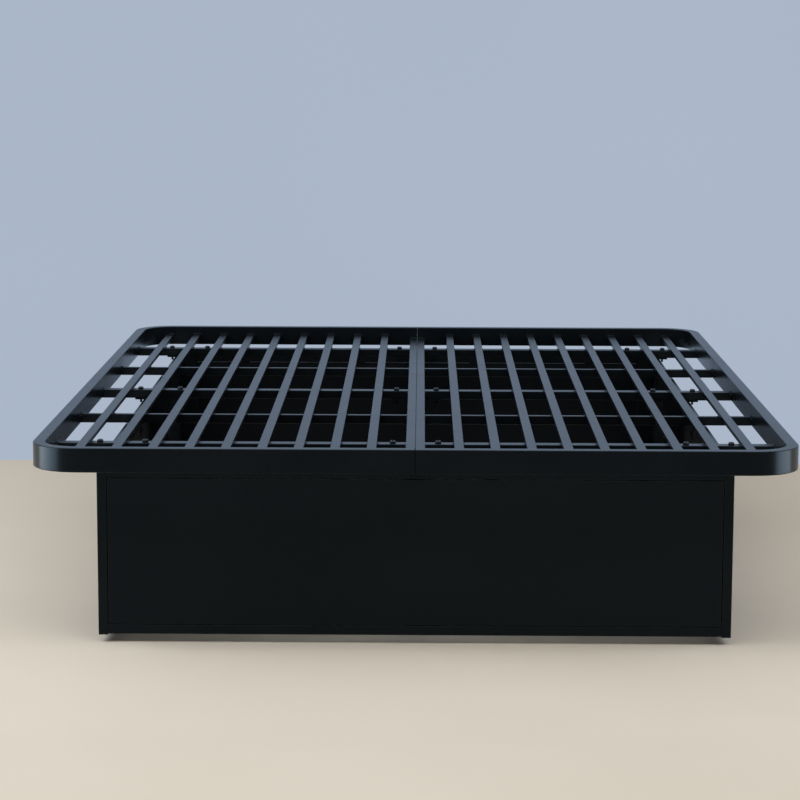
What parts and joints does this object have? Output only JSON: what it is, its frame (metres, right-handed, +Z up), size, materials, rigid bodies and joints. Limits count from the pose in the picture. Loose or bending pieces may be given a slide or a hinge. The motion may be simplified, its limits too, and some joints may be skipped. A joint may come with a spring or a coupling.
{
  "type": "platform bed frame",
  "caption": "Black steel platform bed: rounded tube deck in two bolted halves with lengthwise slats, on legs hidden by a set-back boxed skirt with inset panels.",
  "frame": {"origin": "on the floor under the middle of the deck", "axes": "+X across the bed, +Y lengthwise towards the head end, +Z up"},
  "size_m": [1.574, 2.082, 0.433],
  "materials": {
    "black_steel": "satin black powder coat",
    "panel_board": "black laminated board, satin",
    "black_plastic": "moulded black plastic",
    "bolt_steel": "black oxide, slightly shiny"
  },
  "bodies": {
    "root": {"centre_foot_leg": "black_steel", "centre_head_leg": "black_steel", "centre_middle_leg": "black_steel", "deck_bolts": "bolt_steel", "left_centre_bar": "black_steel", "left_foot_leg": "black_steel", "left_head_leg": "black_steel", "left_middle_leg": "black_steel", "left_rail_1": "black_steel", "left_rail_2": "black_steel", "left_rail_3": "black_steel", "left_rail_4": "black_steel", "left_rail_5": "black_steel", "left_rim": "black_steel", "left_slat_1": "black_steel", "left_slat_2": "black_steel", "left_slat_3": "black_steel", "left_slat_4": "black_steel", "left_slat_5": "black_steel", "left_slat_6": "black_steel", "left_slat_7": "black_steel", "left_slat_8": "black_steel", "left_slat_9": "black_steel", "leg_feet": "black_plastic", "right_centre_bar": "black_steel", "right_foot_leg": "black_steel", "right_head_leg": "black_steel", "right_middle_leg": "black_steel", "right_rail_1": "black_steel", "right_rail_2": "black_steel", "right_rail_3": "black_steel", "right_rail_4": "black_steel", "right_rail_5": "black_steel", "right_rim": "black_steel", "right_slat_1": "black_steel", "right_slat_2": "black_steel", "right_slat_3": "black_steel", "right_slat_4": "black_steel", "right_slat_5": "black_steel", "right_slat_6": "black_steel", "right_slat_7": "black_steel", "right_slat_8": "black_steel", "right_slat_9": "black_steel", "rim_end_plugs": "black_plastic", "skirt_bolts": "bolt_steel", "skirt_corner_posts": "black_steel", "skirt_foot_bottom_rail": "black_steel", "skirt_foot_panel": "panel_board", "skirt_foot_top_rail": "black_steel", "skirt_head_bottom_rail": "black_steel", "skirt_head_panel": "panel_board", "skirt_head_top_rail": "black_steel", "skirt_left_bottom_rail": "black_steel", "skirt_left_panel": "panel_board", "skirt_left_top_rail": "black_steel", "skirt_post_caps": "black_plastic", "skirt_right_bottom_rail": "black_steel", "skirt_right_panel": "panel_board", "skirt_right_top_rail": "black_steel", "skirt_screws": "bolt_steel"}
  },
  "joints": []
}
